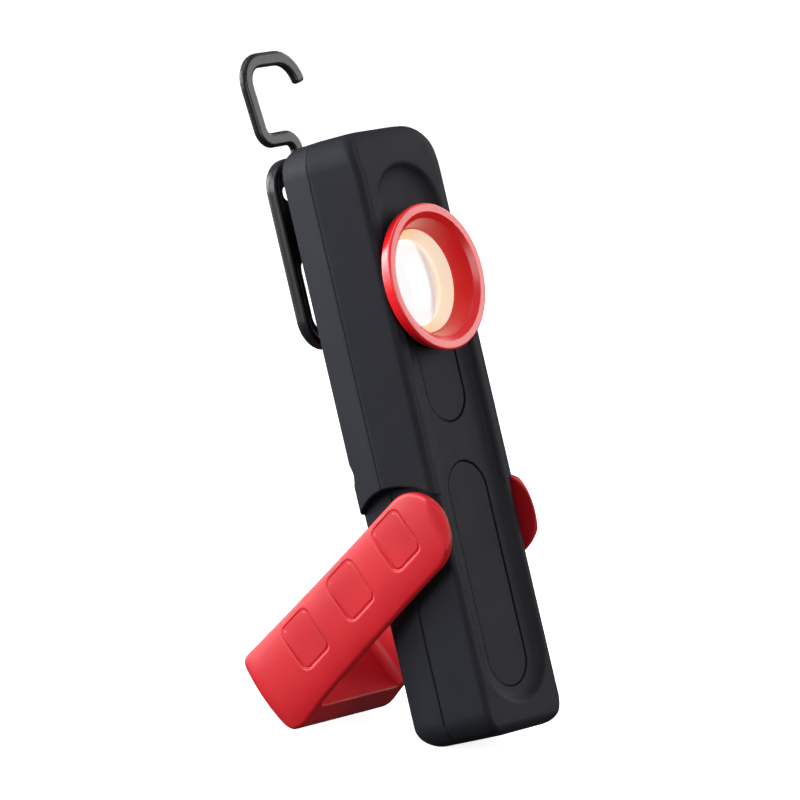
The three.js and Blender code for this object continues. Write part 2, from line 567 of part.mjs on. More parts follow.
// The light leans until its rounded heel and the foot's rounded lower corner touch the same ground.
function leanAngle() {
  const along = FOOT_LENGTH - FOOT_RADIUS;
  const across = ARM_HALF - FOOT_RADIUS;
  const toeY = PIVOT.y + along * Math.sin(FOOT_OPEN) - across * Math.cos(FOOT_OPEN);
  const toeZ = PIVOT.z - along * Math.cos(FOOT_OPEN) - across * Math.sin(FOOT_OPEN);
  const dy = toeY - (BODY_DEPTH - HEEL_RADIUS);
  const dz = toeZ - HEEL_RADIUS;
  return Math.atan2(dz, dy) + Math.asin((HEEL_RADIUS - FOOT_RADIUS) / Math.hypot(dy, dz));
}
light.rotation.x = -leanAngle();

// Origin: on the ground, below the middle of the whole object.
const assembly = new THREE.Group();
assembly.add(light);
const bounds = new THREE.Box3().setFromObject(assembly, true);
light.position.set(-(bounds.min.x + bounds.max.x) / 2, -(bounds.min.y + bounds.max.y) / 2, -bounds.min.z);

export default assembly;
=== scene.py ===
"""Work light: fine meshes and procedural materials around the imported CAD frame.

Shapes are written in millimetres in the light's own frame: x across, v depth (0 at the front face,
growing towards the back) and w up the body. They are signed distance fields, negative inside, that
are turned into meshes and then moved on to the exact surface.
"""

import json
import math

import bpy
import numpy as np
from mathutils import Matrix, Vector


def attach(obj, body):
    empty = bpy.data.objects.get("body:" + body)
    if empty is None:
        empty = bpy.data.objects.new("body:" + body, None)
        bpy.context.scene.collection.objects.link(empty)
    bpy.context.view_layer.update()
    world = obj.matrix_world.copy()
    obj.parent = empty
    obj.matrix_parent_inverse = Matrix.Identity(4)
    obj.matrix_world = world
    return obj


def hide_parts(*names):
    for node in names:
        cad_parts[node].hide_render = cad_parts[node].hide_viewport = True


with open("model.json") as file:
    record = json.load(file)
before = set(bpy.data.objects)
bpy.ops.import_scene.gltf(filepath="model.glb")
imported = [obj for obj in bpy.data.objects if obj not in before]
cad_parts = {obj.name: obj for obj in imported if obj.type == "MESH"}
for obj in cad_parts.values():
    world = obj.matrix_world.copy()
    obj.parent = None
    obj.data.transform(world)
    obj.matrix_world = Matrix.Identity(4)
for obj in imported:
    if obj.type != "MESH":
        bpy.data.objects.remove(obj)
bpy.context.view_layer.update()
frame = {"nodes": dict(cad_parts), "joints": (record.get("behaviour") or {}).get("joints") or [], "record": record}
joints = {joint["name"]: joint for joint in frame["joints"]}
MM = 0.001

# ---- The light's own frame, from the joints ----
X_AXIS = np.array([1.0, 0.0, 0.0])
DEPTH_AXIS = np.array(joints["button_press"]["axis"])
UP_AXIS = np.array([0.0, -DEPTH_AXIS[2], DEPTH_AXIS[1]])
PIVOT_V, PIVOT_W = 9.6, 71.6
ORIGIN = (
    np.array(joints["foot_hinge"]["pos_m"]) - MM * PIVOT_V * DEPTH_AXIS - MM * PIVOT_W * UP_AXIS
)
LIGHT_AXES = np.array([X_AXIS, DEPTH_AXIS, UP_AXIS])
FOOT_OPEN = math.radians(-joints["foot_hinge"]["range_deg"][0])
FOOT_AXES = np.array([
    X_AXIS,
    math.cos(FOOT_OPEN) * DEPTH_AXIS + math.sin(FOOT_OPEN) * UP_AXIS,
    -math.sin(FOOT_OPEN) * DEPTH_AXIS + math.cos(FOOT_OPEN) * UP_AXIS,
])
FOOT_ORIGIN = np.array(joints["foot_hinge"]["pos_m"])


def in_light(point_m):
    """A point of the row frame as (x, v, w) in millimetres."""
    return (LIGHT_AXES @ (np.array(point_m) - ORIGIN)) / MM


def extent(*nodes, axes=LIGHT_AXES, origin=ORIGIN):
    """Lowest and highest corners of CAD nodes in the light's own frame, in millimetres."""
    points = [vertex.co for node in nodes for vertex in frame["nodes"][node].data.vertices]
    points = (np.array(points) - origin) @ axes.T / MM
    return points.min(axis=0), points.max(axis=0)


# ---- Body ----
BODY_HIGH = extent("front_housing", "rear_housing")[1]
LENGTH = BODY_HIGH[2]
DEPTH = BODY_HIGH[1]
WAIST = BODY_HIGH[0]
FRONT_HALF = 22.9
BACK_HALF = 19.6
LOWER_HALF = 20.1
PARTING = 19.8
EDGE = 2.0  # rounding of the long edges
CREASE = 0.7  # softness of the line along the widest part
TOP_CORNER, BOTTOM_CORNER = 11.0, 9.0
BROW_DEPTH, BROW_HEIGHT = 8.0, 18.0
TOE, HEEL, BACK_TOP = 4.0, 8.0, 6.0
WALL = 2.4
FRONT_WALL = 5.0
GAP = 0.3
SEAM = 0.02  # half the gap that shows between the two shells

ARCH_V, ARCH_W, ARCH_RADIUS = 17.2, 61.1, 27.8
POCKET_LIP, POCKET_ROOT = 0.6, 0.4

RECESS_HALF, RECESS_BOTTOM, RECESS_TOP = 16.6, 10.0, 194.7
RECESS_DEPTH, COVE = 2.6, 5.8
RECESS_LIP = 1.4

PAD_LOW, PAD_HIGH = extent("grip_inlay")
BUTTON_LOW, BUTTON_HIGH = extent("power_button")
GROOVE = 0.22  # gap round the pads
PAD_SINK = 0.35  # how far a pad's face lies below the recess floor
PAD_BACK, PAD_SEAT = 3.6, 3.9  # back of the grip pad, floor of its seat
BUTTON_BACK, BUTTON_HOLE_END = 4.8, 9
STEM_W, STEM_RADIUS, STEM_MIDDLE, STEM_HALF_DEPTH = 118, 2, 6.4, 2
HOLE_LIP = 0.25  # rounding of the edges of holes

# ---- Pivots, screws and holes in the shells ----
PIN_BORE = 3.3
WASHER_SEAT_RADIUS, WASHER_SEAT_X = 7.1, 21.4
CLIP_ROOM_RADIUS, CLIP_ROOM_X = 4.7, 17.6
SCREWS = ((-12, 14), (12, 14), (-13.5, 128), (13.5, 128))
BOSS_RADIUS, SCREW_THREAD, SCREW_SHANK, SCREW_HEAD = 3.2, 1.5, 1.8, 3
THREAD_START, SCREW_HEAD_DEPTH = 8, 2.4
NOTCH_BEHIND, NOTCH_W, NOTCH_RADIUS, NOTCH_X = 3.2, 96, 5.2, 16.4  # thumb notches in the back corners
FLAP_LOW, FLAP_HIGH = extent("port_flap")
FLAP_W = (FLAP_LOW[2] + FLAP_HIGH[2]) / 2
FLAP_HALF_HEIGHT = (FLAP_HIGH[2] - FLAP_LOW[2]) / 2
FLAP_CORNER, FLAP_SEAT_DEPTH, FLAP_SEAT_CORNER = 2.2, 1.4, 2.5
PORT_W, PORT_HALF, PORT_HALF_HEIGHT, PORT_CORNER, PORT_START = 108.0, 5.2, 2.2, 2, 20
POST_BORE = 3.3

# ---- Lens ----
RING_LOW, RING_HIGH = extent("lens_ring")
LENS_W = (RING_LOW[2] + RING_HIGH[2]) / 2
RING_RADIUS = RING_HIGH[0]
RING_FRONT = RING_LOW[1]
RING_BASE = -1.1
RING_SWELL = 0.4  # how far the lip passes the plain solid
RING_NECK, LIP_INNER, THROAT_RADIUS = 24.5, 22.2, 20.3
COLLAR_RADIUS, COLLAR_MIDDLE, COLLAR_HALF_DEPTH = 22.3, 4, 4.8
LENS_BORE_END = 14
SLEEVE_RADIUS = 20.3
SEAT_RADIUS = 17.9
LENS_RADIUS = extent("lens")[1][0]
LENS_BACK, DOME_RISE, DOME_SHARE = 9.2, 5.4, 0.94

# ---- Foot ----
ARM_HALF = 14.5
ARM_INNER = 23.2
ARM_RIDGE = extent("foot_frame")[1][0]
CROWN = 2.0
FOOT_LENGTH = -extent("foot_frame", axes=FOOT_AXES, origin=FOOT_ORIGIN)[0][2]
CROSSBAR = 75.0
END_ROUND = 10.0  # lower corners, seen from the front
UPPER_CORNER, LOWER_CORNER = 6.0, 11.0  # corners of the end, seen from the side
FLARE = 1.7  # how much wider each side of an arm is at its lower end
SKIRT, SKIRT_START = 2.3, 62.0  # further swell of the lower side, beside the crossbar
END_BOW, END_REACH = 1.6, 0.9  # curve of the end, and how far it passes the plain solid
BEVEL_WAY, BEVEL_START, BEVEL_SLOPE = (-0.39, 0.92), 9.5, 0.65  # flat facet on the arm's round end
GRIPS = (-6.8, -33.9, -61)
GRIP_HALF, GRIP_LOW, GRIP_HIGH = 7.4, -5.2, 12.0
GRIP_CORNER, GRIP_DEPTH, GRIP_LINE_DEPTH = 3.0, 0.95, 1.25
PIN_SOCKET_DEPTH = 2.3  # how far the pivot pin's bore runs into each arm
MAGNET_X, MAGNET_POCKET_RADIUS, MAGNET_POCKET_DEPTH = 11, 5.3, 3.3

# ---- Hook and carrier ----
SWIVEL = in_light(joints["carrier_swivel"]["pos_m"])
KNUCKLE = in_light(joints["hook_tilt"]["pos_m"])
PLATE_V = SWIVEL[1]
PLATE_HALF_THICK = 1.3
PLATE_W, PLATE_HALF, PLATE_HALF_HEIGHT, PLATE_CORNER = 173, 18, 33, 11
WINDOW_W, WINDOW_HALF, WINDOW_HALF_HEIGHT, WINDOW_CORNER = 159.25, 12.4, 12.75, 5
CHANNEL_W, CHANNEL_HALF, CHANNEL_HALF_HEIGHT, CHANNEL_CORNER = 194.3, 12.8, 2.3, 2
POST_HOLE = 3.5
POST_RADIUS, POST_START, FLANGE_RADIUS = 3, 30, 9.5
KNUCKLE_RADIUS, HOOK_PIN_BORE, HOOK_PIN_HALF, KNUCKLE_HALF = 2.6, 1.55, 12, 5.6
EAR_X, EAR_HALF = 8.75, 2.75
THROAT_HALF, THROAT_DROP = 5.9, 3.1
RIM_HALF_WIDTH, RIM_HALF_THICK = 1.3, 2.2  # raised border of the plate
HOOK_HALF_WIDTH, HOOK_HALF_THICK = 2.55, 1.5


# ---- Distance fields ----
def rounded_max(a, b, radius):
    """Where both are inside, with a round edge."""
    over_a, over_b = np.maximum(a + radius, 0), np.maximum(b + radius, 0)
    return np.minimum(-radius, np.maximum(a, b)) + np.hypot(over_a, over_b)


def rounded_min(a, b, radius):
    """Where either is inside, with a round inner corner."""
    return -rounded_max(-a, -b, radius)


def elliptic_max(a, b, radius_a, radius_b):
    """Where both are inside, with a quarter ellipse as the edge."""
    over_a, over_b = np.maximum(a + radius_a, 0), np.maximum(b + radius_b, 0)
    reach = np.hypot(over_a / radius_a, over_b / radius_b)
    slope = np.maximum(np.hypot(over_a / radius_a**2, over_b / radius_b**2), 1e-9)
    inner = np.maximum(a, b)
    return np.where(reach > 1e-6, reach * (reach - 1) / slope, inner)


def rounded_rect(a, b, half_a, half_b, radius):
    """Rectangle about the origin with rounded corners."""
    qa, qb = np.abs(a) - half_a + radius, np.abs(b) - half_b + radius
    return np.hypot(np.maximum(qa, 0), np.maximum(qb, 0)) + np.minimum(np.maximum(qa, qb), 0) - radius


def stadium(x, w, half, bottom, top):
    """Rectangle with fully round ends."""
    beyond = np.maximum(np.maximum(bottom + half - w, w - top + half), 0)
    return np.hypot(x, beyond) - half


def beside(a, b, start, end):
    """Distance to the right of the line from start to end."""
    along = np.array(end, float) - np.array(start, float)
    along /= np.hypot(*along)
    return (a - start[0]) * along[1] - (b - start[1]) * along[0]


# ---- Fields to meshes ----
def sample_net(values):
    """Surface net of a sampled field: vertices in grid steps, and quads facing out of the negative side."""
    cells = np.array(values.shape) - 1
    corner_ids, corner_points, rings = [], [], []
    for axis in range(3):
        near, far = [slice(None)] * 3, [slice(None)] * 3
        near[axis], far[axis] = slice(None, -1), slice(1, None)
        a, b = values[tuple(near)], values[tuple(far)]
        at = np.argwhere((a < 0) != (b < 0))
        one, two = (axis + 1) % 3, (axis + 2) % 3
        value_a, value_b = a[tuple(at.T)], b[tuple(at.T)]
        point = at.astype(float)
        point[:, axis] += value_a / (value_a - value_b)
        ring = []
        for step_one, step_two in ((0, 0), (1, 0), (1, 1), (0, 1)):
            cell = at.copy()
            cell[:, one] -= step_one
            cell[:, two] -= step_two
            ring.append(np.ravel_multi_index(cell.T, cells))
            corner_points.append(point)
        corner_ids += ring
        quads = np.stack(ring, axis=1)
        rings.append(np.where((value_a < 0)[:, None], quads, quads[:, ::-1]))
    used, index = np.unique(np.concatenate(corner_ids), return_inverse=True)
    points = np.concatenate(corner_points)
    count = np.bincount(index)
    vertices = np.stack([np.bincount(index, points[:, k]) / count for k in range(3)], axis=1)
    return vertices, np.searchsorted(used, np.concatenate(rings))


def slope(field, points, step=0.01):
    """Gradient of a field by central differences."""
    result = np.empty_like(points)
    for axis in range(3):
        shift = np.zeros(3)
        shift[axis] = step
        high, low = points + shift, points - shift
        result[:, axis] = (field(*high.T) - field(*low.T)) / (2 * step)
    return result


def mesh_object(name, points_m, faces, material):
    """A smooth-shaded Blender object from points in metres and faces."""
    mesh = bpy.data.meshes.new(name)
    mesh.from_pydata(points_m.tolist(), [], faces.tolist() if hasattr(faces, "tolist") else faces)
    mesh.validate()
    mesh.shade_smooth()
    mesh.materials.append(material)
    obj = bpy.data.objects.new(name, mesh)
    bpy.context.scene.collection.objects.link(obj)
    return obj


def carve(name, field, low, high, step, material, origin=ORIGIN, axes=LIGHT_AXES):
    """The zero surface of a field inside the box low..high, all in millimetres."""
    low, high = np.array(low, float) - 2 * step, np.array(high, float) + 2 * step
    grid = [np.arange(low[k], high[k] + step, step) for k in range(3)]
    values = field(*np.meshgrid(*grid, indexing="ij", sparse=False))
    vertices, quads = sample_net(values)
    points = low + vertices * step
    for _ in range(4):
        gradient = slope(field, points)
        size = np.maximum((gradient**2).sum(1), 0.05)
        move = -field(*points.T)[:, None] * gradient / size[:, None]
        points += np.clip(move, -step / 2, step / 2)
    normals = slope(field, points)
    normals /= np.maximum(np.linalg.norm(normals, axis=1), 1e-9)[:, None]
    obj = mesh_object(name, origin + MM * points @ axes, quads, material)
    obj.data.normals_split_custom_set_from_vertices((normals @ axes).tolist())
    return obj


def filleted(corners, steps=8):
    """Points along a polyline whose corners, given as (a, b, radius), are rounded by arcs."""
    result = [np.array(corners[0][:2], float)]
    for before, corner, after in zip(corners, corners[1:], corners[2:]):
        here = np.array(corner[:2], float)
        back = np.array(before[:2], float) - here
        on = np.array(after[:2], float) - here
        back, on = back / np.hypot(*back), on / np.hypot(*on)
        half = math.acos(float(np.clip(back @ on, -1, 1))) / 2
        if corner[2] <= 0 or half > 1.55:
            result.append(here)
            continue
        middle = here + (back + on) / np.hypot(*(back + on)) * corner[2] / math.sin(half)
        start = here + back * corner[2] / math.tan(half) - middle
        sweep = math.pi - 2 * half
        turn = -1 if back[0] * on[1] - back[1] * on[0] > 0 else 1
        for i in range(steps + 1):
            angle = turn * sweep * i / steps
            cos, sin = math.cos(angle), math.sin(angle)
            spoke = [cos * start[0] - sin * start[1], sin * start[0] + cos * start[1]]
            result.append(middle + np.array(spoke))
    result.append(np.array(corners[-1][:2], float))
    return np.array(result)


def turned(name, corners, centre, material, sides=144):
    """Solid or ring of revolution about the depth axis; corners are (radius, v, fillet), closed."""
    first = [(corners[0][0] + corners[-1][0]) / 2, (corners[0][1] + corners[-1][1]) / 2, 0]
    profile = filleted([first, *corners, first])[:-1]
    on_axis = profile[:, 0] < 1e-6
    angles = np.arange(sides) * 2 * math.pi / sides
    points, ids = [], []
    for (radius, v), centred in zip(profile, on_axis):
        if centred:
            ids.append([len(points)] * sides)
            points.append([centre[0], v, centre[1]])
            continue
        ids.append(list(range(len(points), len(points) + sides)))
        points += [[centre[0] + radius * math.cos(t), v, centre[1] + radius * math.sin(t)] for t in angles]
    faces = []
    for i in range(len(ids)):
        here, there = ids[i], ids[(i + 1) % len(ids)]
        for j in range(sides):
            k = (j + 1) % sides
            face = list(dict.fromkeys([here[j], here[k], there[k], there[j]]))
            if len(face) > 2:
                faces.append(face)
    area = np.sum(profile[:, 0] * np.roll(profile[:, 1], -1) - profile[:, 1] * np.roll(profile[:, 0], -1))
    if area > 0:
        faces = [face[::-1] for face in faces]
    return mesh_object(name, ORIGIN + MM * np.array(points) @ LIGHT_AXES, faces, material)


# ---- Materials ----
COLOUR_SCALE, ROUGHNESS_SCALE, ROUGHNESS_SPREAD = 60, 180, 0.05


def surface(name, low, high, roughness, metallic=0.0, grain=1500, bump=0.1, depth=0.00003, **sockets):
    """Base colour that drifts from low to high, uneven roughness, and a fine moulded grain."""
    material = bpy.data.materials.new(name)
    material.use_nodes = True
    nodes, links = material.node_tree.nodes, material.node_tree.links
    shader = nodes["Principled BSDF"]
    shader.inputs["Metallic"].default_value = metallic
    for socket, value in sockets.items():
        shader.inputs[socket.replace("_", " ")].default_value = value
    place = nodes.new("ShaderNodeTexCoord").outputs["Object"]

    def noise(scale, detail):
        node = nodes.new("ShaderNodeTexNoise")
        node.inputs["Scale"].default_value = scale
        node.inputs["Detail"].default_value = detail
        links.new(place, node.inputs["Vector"])
        return node.outputs["Fac"]

    colour = nodes.new("ShaderNodeValToRGB")
    colour.color_ramp.elements[0].position = 0.3
    colour.color_ramp.elements[0].color = (*low, 1)
    colour.color_ramp.elements[1].position = 0.7
    colour.color_ramp.elements[1].color = (*high, 1)
    links.new(noise(COLOUR_SCALE, 4), colour.inputs["Fac"])
    links.new(colour.outputs["Color"], shader.inputs["Base Color"])

    uneven = nodes.new("ShaderNodeMapRange")
    uneven.inputs["To Min"].default_value = roughness - ROUGHNESS_SPREAD
    uneven.inputs["To Max"].default_value = roughness + ROUGHNESS_SPREAD
    links.new(noise(ROUGHNESS_SCALE, 3), uneven.inputs["Value"])
    links.new(uneven.outputs["Result"], shader.inputs["Roughness"])

    relief = nodes.new("ShaderNodeBump")
    relief.inputs["Strength"].default_value = bump
    relief.inputs["Distance"].default_value = depth
    links.new(noise(grain, 3), relief.inputs["Height"])
    links.new(relief.outputs["Normal"], shader.inputs["Normal"])
    return material


def glowing(material, colour, strength):
    """Adds an even glow to a material."""
    shader = material.node_tree.nodes["Principled BSDF"]
    shader.inputs["Emission Color"].default_value = (*colour, 1)
    shader.inputs["Emission Strength"].default_value = strength
    return material


def paint_light_bands(material, socket, stops, strength=0.0):
    """Paints light in bands across the lens: colours a socket by bands along x, for painted reflections and
    painted glow; stops are (x in millimetres, colour).
    """
    nodes, links = material.node_tree.nodes, material.node_tree.links
    shader = nodes["Principled BSDF"]
    parts = nodes.new("ShaderNodeSeparateXYZ")
    links.new(nodes.new("ShaderNodeTexCoord").outputs["Object"], parts.inputs["Vector"])
    share = nodes.new("ShaderNodeMapRange")
    share.inputs["From Min"].default_value = -MM * SEAT_RADIUS
    share.inputs["From Max"].default_value = MM * SEAT_RADIUS
    links.new(parts.outputs["X"], share.inputs["Value"])
    ramp = nodes.new("ShaderNodeValToRGB")
    links.new(share.outputs["Result"], ramp.inputs["Fac"])
    elements = ramp.color_ramp.elements
    for i, (x, colour) in enumerate(stops):
        place = (x / SEAT_RADIUS + 1) / 2
        element = elements[i] if i < 2 else elements.new(place)
        element.position = place
        element.color = (*colour, 1)
    links.new(ramp.outputs["Color"], shader.inputs[socket])
    shader.inputs["Emission Strength"].default_value = strength
    return material


# Painted reflection: the reflector's base colour is banded across x. It is red on the left, where it mirrors the
# red bezel, and warm on the right, where it mirrors the phosphor.
REFLECTOR_REFLECTED_RED, REFLECTOR_REFLECTED_WARM = (0.24, 0.10, 0.05), (0.34, 0.17, 0.09)
REFLECTOR_PAINTED_REFLECTION = [(-16, REFLECTOR_REFLECTED_RED), (3, REFLECTOR_REFLECTED_WARM)]
# Painted glow: the reflector is no lamp but emits these bands across x, from dim red on the left to cream on the
# right, as the phosphor's warm reflection.
REFLECTOR_PAINTED_GLOW = [
    (-16, (0.34, 0.13, 0.05)), (-3, (0.66, 0.36, 0.17)), (3, (0.80, 0.54, 0.33)), (10, (0.86, 0.76, 0.60)),
]
REFLECTOR = surface("reflector", REFLECTOR_REFLECTED_RED, REFLECTOR_REFLECTED_WARM, 0.3)
REFLECTOR = paint_light_bands(REFLECTOR, "Base Color", REFLECTOR_PAINTED_REFLECTION)
# Painted highlight and shade on the lens: it is no lamp but emits these bands across x. They give a grey edge on
# the left, a white highlight in the middle, and grey to cream shading on the right.
LENS_PAINTED_GLOW = [
    (-15, (0.62, 0.55, 0.53)), (-12.5, (0.95, 0.94, 0.93)), (3.5, (0.98, 0.97, 0.95)),
    (6.0, (0.66, 0.60, 0.55)), (8.5, (0.84, 0.72, 0.60)), (12, (0.86, 0.70, 0.50)),
    (15, (0.80, 0.58, 0.38)),
]

SLOTS = {
    "shell": surface("soft_charcoal", (0.0135, 0.0140, 0.0185), (0.0160, 0.0166, 0.0215), 0.55, bump=0.22,
                     Specular_IOR_Level=0.1),
    "soft_black": surface("soft_pad", (0.0180, 0.0174, 0.0225), (0.0205, 0.0200, 0.0255), 0.58, bump=0.3,
                          Specular_IOR_Level=0.1),
    "rubber": surface("black_rubber", (0.010, 0.010, 0.011), (0.018, 0.018, 0.020), 0.7, bump=0.3),
    "red_bezel": surface("red_bezel", (0.80, 0.005, 0.009), (0.86, 0.006, 0.011), 0.32, bump=0.0,
                         Coat_Weight=0.5, Coat_Roughness=0.25),
    "red_foot": surface("red_foot", (0.53, 0.008, 0.015), (0.61, 0.012, 0.020), 0.45, bump=0.12,
                        Specular_IOR_Level=0.4),
    # The reflector and the lens glow with painted light: their emission bands stand in for reflections and
    # highlights.
    "reflector": paint_light_bands(REFLECTOR, "Emission Color", REFLECTOR_PAINTED_GLOW, 0.8),
    "lens_glass": paint_light_bands(surface("lens_painted_glow", (0.10, 0.10, 0.10), (0.12, 0.12, 0.12), 0.1, bump=0.0,
                                 Coat_Weight=0.5), "Emission Color", LENS_PAINTED_GLOW, 0.95),
    "led": glowing(surface("phosphor", (0.85, 0.65, 0.2), (0.95, 0.75, 0.3), 0.5), (1.0, 0.9, 0.7), 2.0),
    "dark_plastic": surface("dark_plastic", (0.03, 0.03, 0.034), (0.045, 0.045, 0.05), 0.5),
    "aluminium": surface("milled_aluminium", (0.62, 0.63, 0.65), (0.75, 0.76, 0.78), 0.35, metallic=1.0),
    "steel": surface("zinc_steel", (0.50, 0.50, 0.52), (0.62, 0.62, 0.64), 0.32, metallic=1.0),
    "magnet": surface("nickel", (0.62, 0.62, 0.64), (0.72, 0.72, 0.74), 0.18, metallic=1.0),
    "black_metal": surface("black_paint", (0.008, 0.008, 0.009), (0.014, 0.014, 0.016), 0.32, bump=0.5,
                           grain=2600, Specular_IOR_Level=0.3, Coat_Weight=0.12, Coat_Roughness=0.2),
    "cell_wrap": surface("cell_wrap", (0.04, 0.13, 0.36), (0.06, 0.17, 0.44), 0.35),
    "circuit_board": surface("solder_mask", (0.015, 0.11, 0.045), (0.025, 0.16, 0.07), 0.4),
}


def stands_for(piece, body, slot, *nodes):
    """Puts a finished piece on its body in place of CAD nodes."""
    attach(piece, body)
    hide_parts(*nodes)


# ---- Body shells ----
def sides(x, v, waist):
    front = beside(np.abs(x), v, (FRONT_HALF, EDGE), (waist, PARTING))
    back = beside(np.abs(x), v, (waist, PARTING), (BACK_HALF, DEPTH))
    return rounded_max(front, back, CREASE)


def ends(v, w):
    """Side view: a drooping brow at the top front, a round heel at the bottom back."""
    front, back, top, bottom = -v, v - DEPTH, w - LENGTH, -w
    outline = elliptic_max(front, top, BROW_DEPTH, BROW_HEIGHT)
    outline = np.maximum(outline, rounded_max(front, bottom, TOE))
    outline = np.maximum(outline, rounded_max(back, top, BACK_TOP))
    return np.maximum(outline, rounded_max(back, bottom, HEEL))


def pocket(v, w):
    """Side pocket that the arm sweeps, under a wide arch."""
    return np.minimum(w - ARCH_W, np.hypot(v - ARCH_V, w - ARCH_W) - ARCH_RADIUS)


def whole_body(x, v, w):
    profile = ends(v, w)

    def block(waist):
        outline = rounded_max(sides(x, v, waist), w - LENGTH - EDGE, TOP_CORNER + EDGE)
        outline = rounded_max(outline, -w - EDGE, BOTTOM_CORNER + EDGE)
        return rounded_max(outline, profile, EDGE)

    upper = rounded_max(block(WAIST), -pocket(v, w), POCKET_LIP)
    return rounded_min(upper, block(LOWER_HALF), POCKET_ROOT)


def recess(x, v, w):
    lip = stadium(x, w, RECESS_HALF, RECESS_BOTTOM, RECESS_TOP)
    return elliptic_max(lip, v - RECESS_DEPTH, COVE, RECESS_DEPTH)


def button_outline(x, w):
    half = BUTTON_HIGH[0]
    tongue = stadium(x, w, half, BUTTON_LOW[2], LENS_W)
    return np.maximum(tongue, COLLAR_RADIUS + GAP - np.hypot(x, w - LENS_W))


def pad_outline(x, w):
    return stadium(x, w, PAD_HIGH[0], PAD_LOW[2], PAD_HIGH[2])


def without_pivots(shell, x, v, w):
    """Cuts the pin bore, the washer seats outside and the clips' room inside."""
    from_axis = np.hypot(v - PIVOT_V, w - PIVOT_W)
    shell = np.maximum(shell, PIN_BORE - from_axis)
    washer_seat = np.maximum(from_axis - WASHER_SEAT_RADIUS, WASHER_SEAT_X - np.abs(x))
    clip_room = np.maximum(from_axis - CLIP_ROOM_RADIUS, np.abs(x) - CLIP_ROOM_X)
    return np.maximum(shell, -np.minimum(washer_seat, clip_room))


def hollow(body, v):
    return np.maximum(body + WALL, FRONT_WALL - v)


def screw_axis(x, w):
    return np.minimum.reduce([np.hypot(x - sx, w - sw) for sx, sw in SCREWS])


def front_shell(x, v, w):
    body = whole_body(x, v, w)
    shell = rounded_max(body, -recess(x, v, w), RECESS_LIP)
    from_lens = np.hypot(x, w - LENS_W)
    collar = rounded_max(from_lens - COLLAR_RADIUS, np.abs(v - COLLAR_MIDDLE) - COLLAR_HALF_DEPTH, 0.3)
    shell = rounded_min(shell, collar, 0.4)
    shell = np.maximum(shell, -hollow(body, v))
    boss = np.maximum(screw_axis(x, w) - BOSS_RADIUS, FRONT_WALL - 0.1 - v)
    shell = np.minimum(shell, boss)
    shell = np.maximum(shell, -np.maximum(screw_axis(x, w) - SCREW_THREAD, THREAD_START - v))
    shell = rounded_max(shell, v - PARTING + SEAM, 0.05)
    for radius, floor in ((SLEEVE_RADIUS + GAP, FRONT_WALL), (SEAT_RADIUS - 0.2, LENS_BORE_END)):
        shell = np.maximum(shell, -np.maximum(from_lens - radius, v - floor))
    button_hole = np.maximum(button_outline(x, w) - GROOVE, v - BUTTON_HOLE_END)
    shell = rounded_max(shell, -button_hole, HOLE_LIP)
    pad_seat = np.maximum(pad_outline(x, w) - GROOVE, v - PAD_SEAT)
    shell = rounded_max(shell, -pad_seat, HOLE_LIP)
    return without_pivots(shell, x, v, w)


def rear_shell(x, v, w):
    body = whole_body(x, v, w)
    shell = np.maximum(body, -hollow(body, v))
    boss = np.maximum(screw_axis(x, w) - BOSS_RADIUS, v - DEPTH + WALL)
    shell = np.minimum(shell, np.maximum(boss, PARTING - v))
    shell = rounded_max(shell, PARTING + SEAM - v, 0.05)
    notch = np.hypot(v - DEPTH - NOTCH_BEHIND, w - NOTCH_W) - NOTCH_RADIUS
    shell = rounded_max(shell, -np.maximum(notch, NOTCH_X - np.abs(x)), 0.5)
    shell = np.maximum(shell, SCREW_SHANK - screw_axis(x, w))
    head = np.maximum(screw_axis(x, w) - SCREW_HEAD, DEPTH - SCREW_HEAD_DEPTH - v)
    shell = rounded_max(shell, -head, HOLE_LIP)
    seat = rounded_rect(x, w - FLAP_W, FLAP_HIGH[0] + GAP, FLAP_HALF_HEIGHT + GAP, FLAP_SEAT_CORNER)
    shell = rounded_max(shell, -np.maximum(seat, DEPTH - FLAP_SEAT_DEPTH - v), HOLE_LIP)
    port = rounded_rect(x, w - PORT_W, PORT_HALF, PORT_HALF_HEIGHT, PORT_CORNER)
    shell = np.maximum(shell, -np.maximum(port, PORT_START - v))
    shell = np.maximum(shell, POST_BORE - np.hypot(x, w - SWIVEL[2]))
    return without_pivots(shell, x, v, w)


def pad(outline, face, back):
    """A flat pad with softly rounded edges, from depth face to depth back."""
    return lambda x, v, w: rounded_max(outline(x, w), np.maximum(face - v, v - back), 0.3)


def button(x, v, w):
    cap = pad(button_outline, RECESS_DEPTH + PAD_SINK, BUTTON_BACK)(x, v, w)
    stem = np.maximum(np.hypot(x, w - STEM_W) - STEM_RADIUS, np.abs(v - STEM_MIDDLE) - STEM_HALF_DEPTH)
    return np.minimum(cap, stem)


